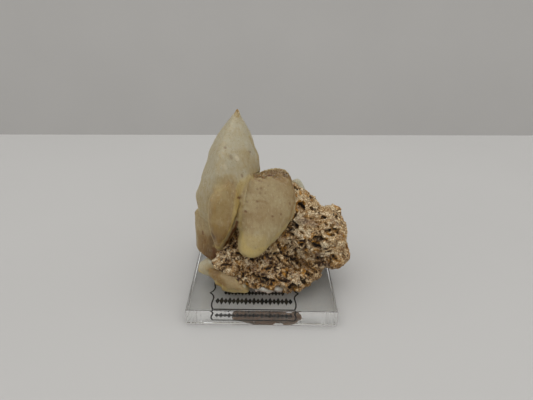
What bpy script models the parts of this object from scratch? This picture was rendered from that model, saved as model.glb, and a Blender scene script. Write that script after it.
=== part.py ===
"""Dogtooth calcite on its rock, stuck with putty to a clear display base that carries a label.

Row frame: metres, +Z up, +X to the right, the viewer at -Y. The origin is the centre of the base's underside.
Lengths below are in millimetres and are scaled by MM where an object is made.
"""

import math

import bmesh
import bpy
from mathutils import Vector, noise

MM = 0.001

# Display base: a square block with a shallow pocket under it for the label
BASE_SIDE = 50.8
BASE_HEIGHT = 6.35
BASE_EDGE = 0.35
LABEL_SIZE = (33.0, 18.4)
LABEL_THICKNESS = 0.12
LABEL_MIDDLE = (-2.8, -13.2)
LABEL_CORNER = 1.5
POCKET_DEPTH = 0.45

# The gap that touching solids keep: a cutter reaches this far past the piece it makes room for
GAP = 0.3

# What stands on the base starts one gap above its top
FOOT = BASE_HEIGHT + GAP
TRIM_SIZE = 90.0

# Rock: the lumps it is built up from, each a middle and three radii
ROCK_LUMPS = (
    ((5.0, 2.0, 20.0), (19.0, 13.5, 13.5)),
    ((12.5, 1.5, 28.0), (9.5, 9.5, 8.5)),
    ((22.4, 0.0, 21.5), (8.5, 10.5, 9.0)),
    ((25.6, -2.0, 13.9), (6.8, 7.5, 5.8)),
    ((25.0, 1.5, 29.3), (3.2, 4.0, 2.6)),
    ((1.5, -8.0, 10.5), (13.0, 8.5, 5.5)),
    ((-9.0, -6.0, 13.5), (8.5, 8.5, 7.0)),
    ((-6.5, -10.0, 10.5), (7.5, 7.0, 5.0)),
    ((6.0, 3.5, 30.8), (9.0, 7.0, 8.5)),
    ((10.0, -10.8, 9.3), (7.2, 7.0, 5.6)),
    ((16.6, -6.0, 11.3), (5.6, 7.0, 4.3)),
)
# Hollows under the broad crystal's right side, along the crevice below it, and a notch at the foot, then the
# larger pits: each a middle, a radius and a depth
ROCK_HOLLOWS = (
    ((8.6, -10.0, 21.5), 6.0, 4.5),
    ((12.0, -10.0, 15.5), 4.5, 2.5),
    ((17.5, -9.0, 15.0), 4.0, 1.5),
    ((5.5, -16.5, 8.0), 2.5, 2.5),
    ((11.8, 1.7, 38.6), 1.8, 1.4),
    ((12.9, -4.7, 34.9), 2.2, 1.8),
    ((11.0, -7.9, 28.4), 2.4, 2.0),
    ((9.3, -8.5, 26.3), 2.4, 2.0),
    ((21.1, -4.1, 30.0), 1.7, 1.4),
    ((23.4, -8.5, 27.0), 2.6, 2.0),
    ((19.0, -9.3, 24.3), 2.4, 2.2),
    ((18.5, -9.4, 22.1), 2.0, 1.8),
    ((13.5, -8.0, 13.2), 3.0, 2.2),
    ((16.6, -13.1, 12.9), 2.2, 1.5),
    ((14.4, -16.3, 10.5), 1.7, 1.3),
    ((10.2, -17.8, 9.9), 2.0, 1.6),
)
ROCK_VOXEL = 0.9
ROCK_TRIANGLES = 6000
ROCK_SEED = Vector((3.7, 11.2, 5.9))

# Rock surface: broad lumps, knobs and pits, each a wave length and a height
ROCK_LUMPY = (9.0, 1.3)
ROCK_KNOBS = (4.0, 1.1)
ROCK_PITS = (5.2, 1.5)

# Putty: a soft pad under the rock's front, showing along its foot
PUTTY_MIDDLE = (1.8, -4.3, 7.6)
PUTTY_RADII = (13.0, 12.2, 2.6)
PUTTY_WAVE = (5.0, 0.6)

# Calcite's scalenohedron has its six upper faces in pairs, this many degrees either side of each pair's middle
PAIR = 19.1
# Where a face that runs along the axis would meet it: so far off that it never does
UPRIGHT = 1e6


def clear_scene():
    for old in list(bpy.data.objects):
        bpy.data.objects.remove(old, do_unlink=True)


def collection(name, hidden=False):
    made = bpy.data.collections.new(name)
    bpy.context.scene.collection.children.link(made)
    made.hide_render = hidden
    return made


def material(name, colour, roughness, metallic=0.0, transmission=0.0, ior=1.5):
    made = bpy.data.materials.new(name)
    made.use_nodes = True
    shader = made.node_tree.nodes["Principled BSDF"]
    shader.inputs["Base Color"].default_value = (*colour, 1.0)
    shader.inputs["Roughness"].default_value = roughness
    shader.inputs["Metallic"].default_value = metallic
    shader.inputs["Transmission Weight"].default_value = transmission
    shader.inputs["IOR"].default_value = ior
    made.diffuse_color = (*colour, 1.0)
    return made


def object_of(name, bm, folder, finish=None):
    """A bmesh in millimetres as an object in metres."""
    mesh = bpy.data.meshes.new(name)
    bmesh.ops.scale(bm, vec=Vector((MM, MM, MM)), verts=bm.verts)
    bmesh.ops.recalc_face_normals(bm, faces=bm.faces)
    bm.to_mesh(mesh)
    bm.free()
    made = bpy.data.objects.new(name, mesh)
    folder.objects.link(made)
    if finish:
        mesh.materials.append(finish)
    else:
        made.hide_render = True
        made.display_type = "WIRE"
    return made


def boolean(obj, other, operation="DIFFERENCE"):
    step = obj.modifiers.new(operation.title() + " " + other.name, "BOOLEAN")
    step.operation = operation
    step.solver = "EXACT"
    step.object = other


def settle(obj):
    """Replaces the object's mesh by its evaluated one, without loose crumbs: only the largest body stays."""
    bpy.context.view_layer.update()
    graph = bpy.context.evaluated_depsgraph_get()
    done = bpy.data.meshes.new_from_object(obj.evaluated_get(graph))
    obj.modifiers.clear()
    obj.data = done
    bm = bmesh.new()
    bm.from_mesh(done)
    keep = largest_body(bm)
    bmesh.ops.delete(bm, geom=[v for v in bm.verts if v not in keep], context="VERTS")
    bm.to_mesh(done)
    bm.free()


def largest_body(bm):
    seen = set()
    best = set()
    for start in bm.verts:
        if start in seen:
            continue
        body = {start}
        reached = [start]
        while reached:
            for edge in reached.pop().link_edges:
                for vert in edge.verts:
                    if vert not in body:
                        body.add(vert)
                        reached.append(vert)
        seen |= body
        if len(body) > len(best):
            best = body
    return best


# Crystals


def dogtooth(blunt_reach, steep_meet, turn=0.0, uneven=0.0, belt=None):
    """A scalenohedron's faces: steep ones round the body and blunter ones at both ends.

    A face is its azimuth from the front in degrees, its reach at the belt in half widths, and where it would
    meet the axis in half lengths. The six lower faces are turned by 60 degrees, so the belt is a zigzag.
    """
    faces = []
    for end in (1, -1):
        for k in range(3):
            for side in (-1, 1):
                azimuth = turn + 120 * k + (60 if end < 0 else 0) + side * PAIR
                wander = 1 + uneven * math.sin(2.3 * azimuth + 1.7 * end)
                faces.append((azimuth, wander, end * steep_meet))
                faces.append((azimuth, blunt_reach * wander, end * 1.0))
    if belt:
        faces += [(turn + 60 * k + 30, belt, UPRIGHT) for k in range(6)]
    return faces


# The tall crystal that points up, and the smaller one on its front that points down
TALL = {
    "ends": ((-8.8, 3.0, 66.5), (-15.3, -5.0, 17.3)),
    "width": 18.0,
    "depth": 18.6,
    "front": (0, -1, 0),
    "faces": dogtooth(1.38, 2.01, turn=79.6),
}
OFFSHOOT = {
    "ends": ((-11.1, -8.0, 48.5), (-15.7, -14.0, 22.3)),
    "width": 9.5,
    "depth": 9.1,
    "front": (0, -1, 0),
    "faces": dogtooth(1.51, 1.68, turn=117.5, uneven=0.12) + [(-12.0, 0.66, UPRIGHT)],
}
# The broad crystal that leans on the front of the rock: its upper end is broken off
LEANING = {
    "ends": ((5.5, 1.0, 47.5), (-4.6, -15.0, 20.2)),
    "width": 19.56,
    "depth": 16.63,
    "front": (0, -1, 0.5),
    "faces": dogtooth(3.48, 1.41, turn=0.0, uneven=0.11, belt=0.96) + [
        (0.0, 0.5, UPRIGHT),
        (-50.0, 0.84, 4.0),
        (-22.0, 0.6, -1.9),
    ],
    "broken": (((3.7, -4.0, 48.0), (-0.08, 0.35, 1.0)),),
}
# The stained crystal low on the left, behind the offshoot
LEFT = {
    "ends": ((-17.1, -0.2, 35.0), (-17.7, -6.0, 1.0)),
    "width": 12.8,
    "depth": 11.0,
    "front": (0, -1, 0),
    "faces": dogtooth(3.0, 12.0, turn=30.0),
    "broken": (((-21.9, -4.0, 15.6), (-0.5, -0.25, -0.82)),),
}
# The pale end and the tan blade at the foot on the left
PALE = {
    "ends": ((-25.5, -10.0, 11.6), (-4.0, -4.0, 11.5)),
    "width": 8.6,
    "depth": 8.0,
    "front": (0, -1, 0.5),
    "faces": dogtooth(1.2, 3.4, turn=0.0),
    "broken": (((-22.8, -10.0, 11.5), (-1.0, 0.1, 0.15)),),
}
BLADE = {
    "ends": ((-20.5, -11.0, 13.8), (-0.6, -15.5, 4.2)),
    "width": 8.0,
    "depth": 8.5,
    "front": (0, -1, 0.5),
    "faces": dogtooth(1.3, 2.2, turn=0.0),
}
# Two pale crystals on the back: the tip of one shows over the rock's ridge
BACK = {
    "ends": ((12.4, 6.0, 40.2), (9.0, 11.5, 18.0)),
    "width": 10.0,
    "depth": 8.5,
    "front": (0, -1, 0),
    "faces": dogtooth(1.4, 2.0, turn=20.0),
}
BACK_SMALL = {
    "ends": ((18.5, 12.5, 30.0), (6.0, 12.0, 19.0)),
    "width": 7.0,
    "depth": 7.0,
    "front": (0, -1, 0),
    "faces": dogtooth(1.4, 2.0, turn=50.0),
}
CRYSTAL_ROOM = 120.0


def face_planes(spec, grow):
    """The outward planes, as point and normal, that bound a crystal, each moved out by grow."""
    tip, tail = (Vector(end) for end in spec["ends"])
    half = (tip - tail).length / 2
    middle = (tip + tail) / 2
    along = (tip - tail).normalized()
    front = Vector(spec["front"])
    front = (front - along * front.dot(along)).normalized()
    side = front.cross(along)
    planes = []
    for azimuth, reach, meet in spec["faces"]:
        a = math.radians(azimuth)
        normal = front * (math.cos(a) * 2 / spec["depth"]) + side * (math.sin(a) * 2 / spec["width"])
        normal += along * (reach / meet / half)
        distance = reach / normal.length
        normal.normalize()
        planes.append((middle + normal * (distance + grow), normal))
    for point, facing in spec.get("broken", ()):
        normal = Vector(facing).normalized()
        planes.append((Vector(point) + normal * grow, normal))
    return planes


def crystal(name, spec, folder, finish=None, grow=0.0):
    """A block cut down to a crystal, one flat face at a time."""
    bm = bmesh.new()
    bmesh.ops.create_cube(bm, size=CRYSTAL_ROOM)
    bmesh.ops.translate(bm, vec=(Vector(spec["ends"][0]) + Vector(spec["ends"][1])) / 2, verts=bm.verts)
    for point, normal in face_planes(spec, grow):
        everything = bm.verts[:] + bm.edges[:] + bm.faces[:]
        cut = bmesh.ops.bisect_plane(bm, geom=everything, plane_co=point, plane_no=normal, clear_outer=True)
        rim = [e for e in cut["geom_cut"] if isinstance(e, bmesh.types.BMEdge)]
        if rim:
            bmesh.ops.contextual_create(bm, geom=rim)
    bmesh.ops.remove_doubles(bm, verts=bm.verts, dist=0.01)
    return object_of(name, bm, folder, finish)


def grown_together(name, specs, folder, finish=None, grow=0.0):
    """Crystals that overlap, joined in one solid."""
    first, *others = [crystal(name + "_" + str(k), s, folder, finish, grow) for k, s in enumerate(specs)]
    for other in others:
        boolean(first, other, "UNION")
    settle(first)
    for other in others:
        bpy.data.objects.remove(other, do_unlink=True)
    first.name = name
    return first


# Rock and putty


def lumps_bmesh(lumps, finer=3):
    bm = bmesh.new()
    for middle, radii in lumps:
        ball = bmesh.ops.create_icosphere(bm, subdivisions=finer, radius=1.0)["verts"]
        bmesh.ops.scale(bm, vec=Vector(radii), verts=ball)
        bmesh.ops.translate(bm, vec=Vector(middle), verts=ball)
    return bm


def rock_height(place):
    """How far the rock's surface stands out from its plain lumps at a place, in millimetres."""
    lumpy = noise.noise(place / ROCK_LUMPY[0] + ROCK_SEED) * ROCK_LUMPY[1]
    knobs = noise.turbulence(place / ROCK_KNOBS[0] - ROCK_SEED, 3, True) * ROCK_KNOBS[1]
    near, second = noise.voronoi(place / ROCK_PITS[0] + ROCK_SEED * 2)[0][:2]
    pit = max(0.0, 0.55 - near) * (second - near)
    hollow = 0.0
    for middle, radius, depth in ROCK_HOLLOWS:
        hollow += depth * max(0.0, 1 - (place - Vector(middle)).length_squared / radius**2)
    return lumpy + knobs - pit * 4 * ROCK_PITS[1] - hollow


def shift_along_normals(bm, height):
    bm.normal_update()
    moves = [(v, v.normal * height(v.co)) for v in bm.verts]
    for vert, move in moves:
        vert.co += move


def make_rock(folder, finish):
    rock = object_of("rock", lumps_bmesh(ROCK_LUMPS), folder, finish)
    skin = rock.modifiers.new("One skin", "REMESH")
    skin.mode = "VOXEL"
    skin.voxel_size = ROCK_VOXEL * MM
    settle(rock)
    bm = bmesh.new()
    bm.from_mesh(rock.data)
    bmesh.ops.scale(bm, vec=Vector((1 / MM, 1 / MM, 1 / MM)), verts=bm.verts)
    for _ in range(3):
        bmesh.ops.smooth_vert(bm, verts=bm.verts, factor=0.5, use_axis_x=True, use_axis_y=True, use_axis_z=True)
    shift_along_normals(bm, rock_height)
    bmesh.ops.triangulate(bm, faces=bm.faces)
    full = len(bm.faces)
    bmesh.ops.scale(bm, vec=Vector((MM, MM, MM)), verts=bm.verts)
    bm.to_mesh(rock.data)
    bm.free()
    fewer = rock.modifiers.new("Fewer triangles", "DECIMATE")
    fewer.ratio = ROCK_TRIANGLES / full
    settle(rock)
    return rock


def make_putty(name, folder, finish=None, grow=0.0):
    bm = lumps_bmesh([(PUTTY_MIDDLE, PUTTY_RADII)])
    shift_along_normals(bm, lambda p: noise.noise(p / PUTTY_WAVE[0]) * PUTTY_WAVE[1])
    shift_along_normals(bm, lambda p: grow)
    return object_of(name, bm, folder, finish)


def trim_block(name, folder):
    """Takes away what would reach below the foot."""
    bm = bmesh.new()
    bmesh.ops.create_cube(bm, size=TRIM_SIZE)
    bmesh.ops.translate(bm, vec=Vector((0, 0, FOOT - TRIM_SIZE / 2)), verts=bm.verts)
    return object_of(name, bm, folder)


# Display base and label


def slab_bmesh(size, middle, corner=0.0):
    """An upright block of a size, about a middle, with its upright corners cut by a bevel."""
    bm = bmesh.new()
    bmesh.ops.create_cube(bm, size=1.0)
    bmesh.ops.scale(bm, vec=Vector(size), verts=bm.verts)
    bmesh.ops.translate(bm, vec=Vector(middle), verts=bm.verts)
    if corner:
        upright = [e for e in bm.edges if abs(e.verts[0].co.z - e.verts[1].co.z) > size[2] / 2]
        bmesh.ops.bevel(bm, geom=upright, offset=corner, offset_type="OFFSET", segments=4,
                        profile=0.5, affect="EDGES", material=-1)
    return bm


def make_base(folder, cutters, finish):
    bm = slab_bmesh((BASE_SIDE, BASE_SIDE, BASE_HEIGHT), (0, 0, BASE_HEIGHT / 2))
    bmesh.ops.bevel(bm, geom=bm.edges[:], offset=BASE_EDGE, offset_type="OFFSET", segments=1,
                    profile=0.5, affect="EDGES", material=-1)
    base = object_of("display_base", bm, folder, finish)
    room = (LABEL_SIZE[0] + 2 * GAP, LABEL_SIZE[1] + 2 * GAP, 2 * POCKET_DEPTH)
    pocket = object_of("cut_label_pocket", slab_bmesh(room, (*LABEL_MIDDLE, 0), LABEL_CORNER + GAP), cutters)
    boolean(base, pocket)
    return base


def make_label(folder, finish):
    size = (*LABEL_SIZE, LABEL_THICKNESS)
    bm = slab_bmesh(size, (*LABEL_MIDDLE, LABEL_THICKNESS / 2), LABEL_CORNER)
    return object_of("label", bm, folder, finish)


def main():
    clear_scene()
    parts = collection("dogtooth_calcite")
    cutters = collection("cutters", hidden=True)

    acrylic = material("clear_acrylic", (0.95, 0.96, 0.96), 0.02, transmission=1.0, ior=1.49)
    film = material("label_film", (0.9, 0.9, 0.9), 0.15, transmission=0.9, ior=1.49)
    calcite = material("calcite", (0.45, 0.36, 0.2), 0.4, transmission=0.2, ior=1.6)
    stained = material("stained_calcite", (0.3, 0.2, 0.1), 0.45, transmission=0.1, ior=1.6)
    pale = material("pale_calcite", (0.6, 0.55, 0.43), 0.4, transmission=0.2, ior=1.6)
    matrix = material("rock_matrix", (0.3, 0.2, 0.11), 0.85)
    white = material("white_putty", (0.8, 0.78, 0.72), 0.6)

    make_base(parts, cutters, acrylic)
    make_label(parts, film)

    main_specs = (TALL, OFFSHOOT, LEFT, LEANING)
    low_specs = (PALE, BLADE)
    back_specs = (BACK, BACK_SMALL)
    below = trim_block("cut_below_foot", cutters)
    room_main = grown_together("room_for_main", main_specs, cutters, grow=GAP)
    room_low = grown_together("room_for_low", low_specs, cutters, grow=GAP)
    room_back = grown_together("room_for_back", back_specs, cutters, grow=GAP)
    room_putty = make_putty("room_for_putty", cutters, grow=GAP)

    grown_together("crystal_cluster", main_specs, parts, calcite)
    low = grown_together("foot_crystals", low_specs, parts, stained)
    boolean(low, room_main)
    boolean(low, below)
    settle(low)
    grown_together("back_crystals", back_specs, parts, pale)

    putty = make_putty("putty", parts, white)
    boolean(putty, room_low)
    boolean(putty, below)
    settle(putty)

    rock = make_rock(parts, matrix)
    for other in (room_main, room_low, room_back, room_putty, below):
        boolean(rock, other)
    settle(rock)


main()
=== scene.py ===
"""The looks of the dogtooth calcite: crystals, a crumbly rock, putty, and a clear base with its label."""

import math
from collections import namedtuple

import bmesh
import bpy
from mathutils import Matrix, Vector, kdtree, noise
from mathutils.bvhtree import BVHTree


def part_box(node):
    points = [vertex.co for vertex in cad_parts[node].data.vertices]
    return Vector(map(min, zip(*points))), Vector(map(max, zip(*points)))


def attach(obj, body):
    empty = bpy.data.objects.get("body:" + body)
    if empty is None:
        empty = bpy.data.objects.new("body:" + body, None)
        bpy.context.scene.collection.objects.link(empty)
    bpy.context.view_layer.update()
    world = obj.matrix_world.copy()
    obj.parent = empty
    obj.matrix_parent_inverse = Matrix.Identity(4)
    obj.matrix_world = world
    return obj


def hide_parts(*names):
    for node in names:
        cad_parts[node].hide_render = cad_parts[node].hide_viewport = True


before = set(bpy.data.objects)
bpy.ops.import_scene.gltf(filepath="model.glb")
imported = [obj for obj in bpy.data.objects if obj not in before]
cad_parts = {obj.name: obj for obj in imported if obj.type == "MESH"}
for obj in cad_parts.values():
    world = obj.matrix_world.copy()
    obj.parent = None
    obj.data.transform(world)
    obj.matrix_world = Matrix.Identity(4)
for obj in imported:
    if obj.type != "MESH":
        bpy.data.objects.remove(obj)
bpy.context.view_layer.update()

MM = 0.001

# The photo's view, worked out from the base's corners: millimetres, degrees, and the image's size in pixels
CAMERA_PLACE = (-0.06, -134.09, 105.44)
CAMERA_DOWN = 27.868
CAMERA_YAW = 0.491
CAMERA_ROLL = 1.053
CAMERA_FOCAL_PIXELS = 430.0
IMAGE_SIZE = (533, 400)

# The width of a pixel where the crystals stand, in millimetres
PIXEL = 0.37

# Stage: the table's back edge is turned so that it looks level, and its top lies a hair below the base
TABLE_BACK_EDGE = 167.5
TABLE_EDGE_TURN = 2.34
TABLE_HALF_WIDTH = 1500.0
TABLE_DROP = 0.03
WALL_Y = 700.0

# Light is followed through this many reflections, because it crosses the clear base that often
REFLECTIONS = 14

# How finely the crystals, the rock and the putty are skinned, in millimetres
CRYSTAL_VOXEL = 0.3
ROCK_VOXEL = 0.283
PUTTY_VOXEL = 0.4

# How finely a mark is laid along its length, and where it is full and where it ends, as shares of its width
MARK_STEP = 0.5
MARK_FULL = 0.5
MARK_END = 1.5

# Marks read off the photo. Each runs from one pixel to another, then has a width in pixels and a strength.
# The yellow joint between the tall and the broad crystal, and painted glow of light through thin yellow
# edges and the foot
CRYSTAL_YELLOW_AND_GLOW = (
    (252, 176, 243, 182, 3.0, 0.3), (243, 182, 238.5, 191, 3.4, 0.45), (238.5, 191, 237, 205, 3.0, 0.5),
    (237, 205, 234, 219, 2.8, 0.55), (234, 219, 229, 231, 1.2, 0.8), (229, 231, 221, 245, 1.0, 0.7),
    (240, 234, 244, 249, 4.5, 0.6), (244, 249, 252, 255, 5.5, 0.75), (252, 255, 265, 249, 4.5, 0.65),
    (265, 249, 286, 226, 2.2, 0.4), (240, 200, 240, 238, 2.0, 0.35), (223, 190, 218, 226, 8.0, 0.18),
    (248, 242, 262, 242, 6.0, 0.3), (224, 290.5, 248, 292.3, 1.6, 0.45), (236, 280, 247, 288, 1.2, 0.4),
    (199, 271, 226, 289, 1.4, 0.45), (214, 246, 219, 248, 1.6, 0.4),
)
# Brown stains, the tall crystal's dark tip, the brown rim of the broken end, partly painted shade, and
# painted shade on the broad crystal's sides and below the offshoot
CRYSTAL_BROWN_AND_SHADE = (
    (220, 207, 224, 222, 9.0, 0.12), (218, 228, 221, 237, 6.0, 0.35), (228, 181, 233, 194, 6.0, 0.3),
    (237.3, 108.6, 237.4, 111, 1.5, 1.0), (237, 111, 236.8, 115, 2.6, 0.5),
    (237, 113, 236, 118, 5.0, 0.12), (250, 137, 258, 156, 1.8, 0.3), (258, 156, 260, 169, 2.0, 0.4),
    (245, 158, 255, 168, 7.0, 0.25), (241, 184, 238, 196, 2.4, 0.5), (238, 196, 237, 216, 2.0, 0.6),
    (255, 176, 262, 171.5, 3.0, 0.6), (262, 171.5, 282, 170.5, 3.6, 0.7),
    (282, 170.5, 290, 177, 3.6, 0.75), (290, 177, 293.8, 190, 2.6, 0.6),
    (293.8, 190, 294.6, 203, 1.8, 0.5), (294, 203, 290, 218, 1.6, 0.4), (287, 178, 291.5, 204, 6.0, 0.2),
    (291.5, 204, 287, 216, 4.5, 0.15), (258, 176.4, 264, 175, 1.0, 0.9),
    (264, 175, 274, 174.8, 0.9, 1.0), (274, 175, 289.5, 184, 2.4, 0.45), (246, 190, 251, 180, 4.0, 0.16),
    (241, 206, 242, 192, 2.4, 0.35), (242, 192, 248.5, 180, 2.8, 0.35),
    (259, 201.5, 266, 202, 1.3, 0.25), (248, 217, 262, 217, 5.0, 0.25), (262, 212, 284, 220, 7.0, 0.2),
    (243, 215, 250, 232, 5.0, 0.15), (203, 240, 209, 254, 6.0, 0.6), (212, 236, 214, 256, 4.0, 0.8),
    (199, 232, 200, 250, 2.4, 0.35), (215, 275, 216, 276, 3.6, 0.45), (220, 282, 223, 285, 4.0, 0.45),
    (209, 270, 219, 273, 2.4, 0.4),
)
# Dark specks, and painted shade in the cleft between the broad and the left crystal
CRYSTAL_SPECKS_AND_SHADE = (
    (225, 147.5, 225.3, 147.8, 1.1, 0.5), (249.6, 152, 250.6, 152, 0.9, 0.5),
    (230.5, 156, 231.5, 158, 1.3, 0.35), (197.4, 202.5, 197.8, 204, 1.0, 0.6),
    (238.2, 197.6, 239.6, 198, 1.1, 0.85), (241.8, 175, 242.4, 176.5, 1.0, 0.5),
    (251, 174.3, 251.4, 175, 0.9, 0.5), (262.6, 177, 263.6, 177.6, 1.0, 0.7),
    (269.4, 175, 271.6, 174.9, 0.8, 0.75), (258.4, 180.3, 259, 180.6, 0.9, 0.5),
    (260.6, 188.2, 261.2, 188.6, 0.9, 0.5), (259.8, 193, 260.4, 193.3, 0.9, 0.45),
    (257, 189, 257.4, 189.3, 0.8, 0.4), (256.6, 201, 257.2, 201.5, 1.0, 0.6),
    (246.8, 201.5, 247.2, 202, 0.9, 0.4), (245.2, 211.2, 246.2, 211.6, 1.0, 0.8),
    (256.8, 208, 257, 208.3, 0.8, 0.4), (272.4, 216.2, 272.9, 216.5, 0.9, 0.75),
    (280.8, 214, 281.2, 214.5, 0.9, 0.55), (289.6, 203, 290, 204.4, 0.9, 0.55),
    (261.3, 181, 261.6, 181.4, 0.8, 0.4), (237, 222, 235.6, 228, 1.4, 0.9),
    (236, 228, 234, 236, 2.4, 0.95), (234, 236, 230, 243, 2.6, 0.95),
    (234.8, 228.5, 230, 237.5, 1.7, 0.95), (230, 237.5, 225, 246.5, 1.7, 0.9),
    (202.6, 231.5, 202.9, 234, 1.0, 0.8), (205, 240, 205.3, 242, 0.9, 0.45),
    (213.5, 249, 215, 256, 1.8, 0.75), (207, 256.5, 213, 257.5, 1.2, 0.6),
    (268, 185.5, 268.4, 185.8, 0.7, 0.35), (265, 193, 265.3, 193.3, 0.7, 0.3),
)
# Pale chips
CRYSTAL_CREAM = (
    (236.5, 157.5, 237.5, 159, 1.6, 0.6), (224.5, 166, 225.5, 168, 1.6, 0.4),
    (243, 283, 244.5, 285.5, 2.0, 0.8), (218, 222, 221, 224, 2.4, 0.12),
    (231, 180.5, 231.6, 181.5, 1.2, 0.15),
)

# Pits and clefts of the rock, read the same way, painted near black as shade, with a painted shadow along
# the broad crystal's lower right edge
ROCK_PITS_AND_SHADE = (
    (294.5, 187, 298.8, 188.3, 1.7, 1.0), (300.2, 204, 303.4, 207.8, 1.7, 1.0),
    (302.4, 202.3, 303, 202.8, 1.0, 0.7), (311, 196.5, 311.8, 198, 1.5, 0.8),
    (312, 208, 313, 209, 1.6, 0.75), (319, 207, 319.5, 207.6, 1.0, 0.6),
    (322, 217.7, 325, 217.2, 1.1, 0.9), (312, 218.7, 313.6, 218.3, 1.2, 0.7),
    (325, 222.4, 326.6, 224.5, 1.4, 0.7), (331, 226, 333, 225.4, 1.2, 0.75),
    (326.6, 231.5, 332, 229.3, 1.3, 0.95), (332, 229, 340, 229.6, 0.9, 0.9),
    (331, 234.3, 332.6, 234.6, 1.4, 0.9), (336, 231.5, 339, 232.8, 1.2, 0.8),
    (315, 238.2, 322, 239, 1.8, 1.0), (322, 239, 326.5, 239.3, 1.0, 0.8),
    (314.5, 244.3, 319.5, 245.6, 2.1, 0.8), (305.6, 240.5, 306, 247, 1.2, 0.85),
    (297.5, 211, 292, 219.3, 0.9, 0.8), (293, 222.3, 296.4, 226.6, 1.7, 1.0),
    (289.5, 224.5, 288.6, 230, 1.9, 1.0), (288, 232, 293, 234.8, 1.5, 1.0),
    (300.5, 231.3, 304.3, 233.8, 0.8, 0.8), (295.5, 238.6, 298, 239.4, 0.8, 0.6),
    (299.5, 245, 302.5, 244.3, 1.2, 0.85), (337, 215.4, 337.2, 216.6, 1.0, 0.6),
    (309.8, 227.6, 310.2, 228, 0.8, 0.5), (317.8, 226.5, 318.2, 227, 0.8, 0.5),
    (316, 221.8, 321, 222, 0.9, 0.5), (276.6, 240.5, 279.3, 247, 1.4, 0.95),
    (280.3, 248.5, 282.6, 252.6, 1.8, 1.0), (284.6, 255, 289.5, 257.2, 1.2, 0.9),
    (291.5, 258.6, 294.6, 260.4, 1.4, 1.0), (297, 262, 300.4, 265.6, 1.3, 0.9),
    (286, 250.4, 288.4, 252, 1.2, 0.8), (288, 261, 290.4, 262.4, 1.2, 0.7),
    (284.3, 247.8, 288, 245.2, 1.2, 0.8), (304.8, 246, 306, 249.5, 1.3, 0.85),
    (295, 251.5, 296, 256.5, 1.2, 0.7), (305.2, 252.2, 308.3, 255, 1.3, 0.9),
    (316, 258.3, 322.5, 257.3, 1.5, 0.9), (309.5, 262, 313, 269.5, 1.9, 0.85),
    (305.5, 263.5, 309, 266.5, 2.0, 0.7), (332, 256.5, 336, 258.8, 1.9, 0.8),
    (331, 260, 330.6, 265, 1.6, 0.7), (312, 270.3, 317, 272, 1.2, 0.8),
    (307, 273, 311.3, 275, 1.5, 0.95), (274.3, 254.3, 279, 253, 1.2, 1.0),
    (266, 255.3, 268.7, 255.6, 1.6, 1.0), (277.3, 256, 279.3, 259.5, 1.2, 0.8),
    (283.3, 262, 288, 266.3, 1.6, 0.9), (290, 269.2, 297, 271, 0.9, 0.85),
    (267.3, 268.2, 271, 266, 1.5, 1.0), (264.6, 268, 265.4, 268.8, 0.9, 0.8),
    (274.6, 265.6, 275.4, 266.4, 1.0, 0.7), (286.8, 271.8, 286, 277, 0.9, 0.8),
    (276, 276.2, 279.4, 278.6, 1.3, 0.9), (271, 280.3, 276, 282, 1.5, 0.8),
    (262, 280, 265, 282.3, 1.3, 0.8), (290.2, 287.3, 293, 288.6, 2.0, 1.0),
    (291.8, 284.4, 295.3, 286.2, 1.2, 0.95), (303, 281.2, 306, 285, 1.3, 0.9),
    (300.6, 277, 301.2, 279, 0.9, 0.8), (281, 280, 286.5, 281.3, 1.1, 0.8),
    (296, 288, 300, 288.3, 0.8, 0.7), (223.8, 246, 226.5, 243.5, 1.5, 1.0),
    (226.5, 243, 229.5, 239.5, 1.4, 1.0), (221.2, 247.8, 222.6, 247.2, 1.0, 0.9),
    (235.6, 240, 236.6, 240.3, 1.2, 0.9), (233.8, 245, 236.3, 246.4, 1.2, 0.8),
    (230, 237.5, 231.4, 241, 1.3, 0.9), (287.4, 227, 282.4, 234.4, 1.7, 0.9),
    (291.6, 222, 288.4, 226.4, 1.1, 0.85), (232, 229, 236, 236, 2.4, 0.8),
    (213.3, 249.5, 215, 256.5, 1.6, 0.9), (238.6, 253, 242, 254.6, 1.3, 0.9),
    (236.3, 252.4, 237.6, 252.8, 0.8, 0.7), (251.8, 259, 253.6, 259.2, 1.5, 1.0),
    (213.8, 262.6, 215, 262.8, 0.9, 0.7), (211.8, 266.3, 212.8, 266.9, 1.0, 0.7),
    (224, 264, 229, 265.3, 1.1, 0.85), (225.6, 266.2, 226.8, 266.3, 0.9, 0.8),
    (222.3, 271, 224.3, 272.7, 0.9, 0.85), (228, 274.2, 234, 273.2, 1.4, 1.0),
    (235.3, 272.5, 237, 272.6, 0.9, 0.9), (239, 267, 239, 271, 0.8, 0.7), (243, 266, 243, 271, 0.8, 0.8),
    (243.2, 273.6, 242.4, 276.8, 1.3, 1.0), (237, 276, 238, 277, 0.9, 0.7),
    (248.8, 266.5, 250, 270.5, 0.8, 0.7), (253.6, 275, 255, 277, 1.5, 0.7),
    (258, 276.3, 259, 276.8, 1.1, 0.85), (256, 279.6, 259.3, 278.6, 1.1, 0.95),
    (241, 279, 243.6, 281.3, 0.9, 0.9), (245.8, 280.7, 247.2, 283.2, 1.1, 0.95),
    (252.2, 283.8, 253.4, 284.4, 1.0, 0.95), (254.6, 284.8, 256, 285.6, 0.8, 0.7),
    (262, 277.7, 266.4, 280, 1.0, 0.8), (264, 282.7, 267.3, 280, 1.1, 0.8),
    (270.8, 282.6, 271.6, 284, 1.2, 0.8), (247, 272, 249, 276, 0.9, 0.6),
    (261, 262, 261.6, 264, 0.8, 0.5), (272, 262.4, 272.8, 263.6, 0.9, 0.6),
    (264, 257, 260, 258, 0.9, 0.6), (319, 252, 321, 251, 1.2, 0.7), (315, 262, 325, 262.5, 1.4, 0.6),
    (326, 258, 330, 258.6, 1.1, 0.6), (341, 224, 343, 227, 0.9, 0.4), (346, 243, 348, 247, 1.1, 0.5),
)
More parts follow.
